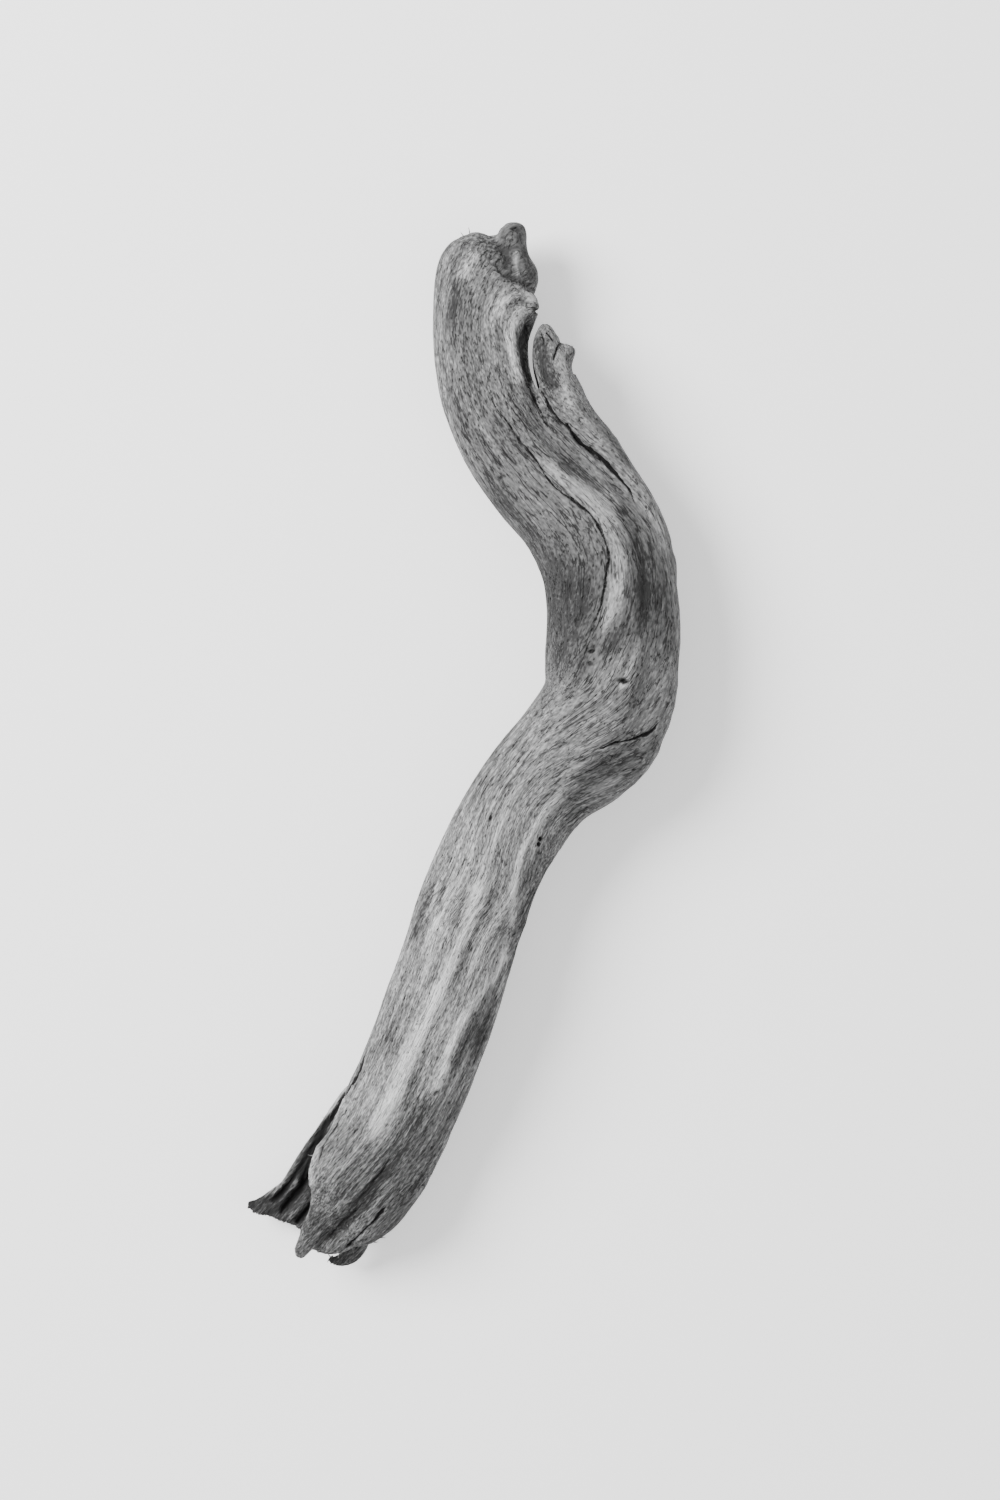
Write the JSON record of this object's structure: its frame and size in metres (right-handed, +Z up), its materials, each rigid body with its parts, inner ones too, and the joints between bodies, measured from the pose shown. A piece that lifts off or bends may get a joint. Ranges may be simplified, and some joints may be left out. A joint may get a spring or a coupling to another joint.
{
  "type": "piece of driftwood",
  "caption": "S-shaped branch of bare grey driftwood with a knobbed head, a split-off prong, a swollen bend and a hollow, splintered foot. It lies flat on a surface.",
  "frame": {"origin": "middle of the bounding box in plan, on the surface the wood lies on", "axes": "+Y along the branch towards its knobbed head, +Z up from the surface, +X towards the side of the swollen bend"},
  "size_m": [0.1954, 0.4733, 0.0569],
  "materials": {
    "weathered_wood": "bare, water-worn and sun-bleached, matt, silver grey with darker cracks and pits"
  },
  "bodies": {
    "root": {"driftwood": "weathered_wood"}
  },
  "joints": []
}
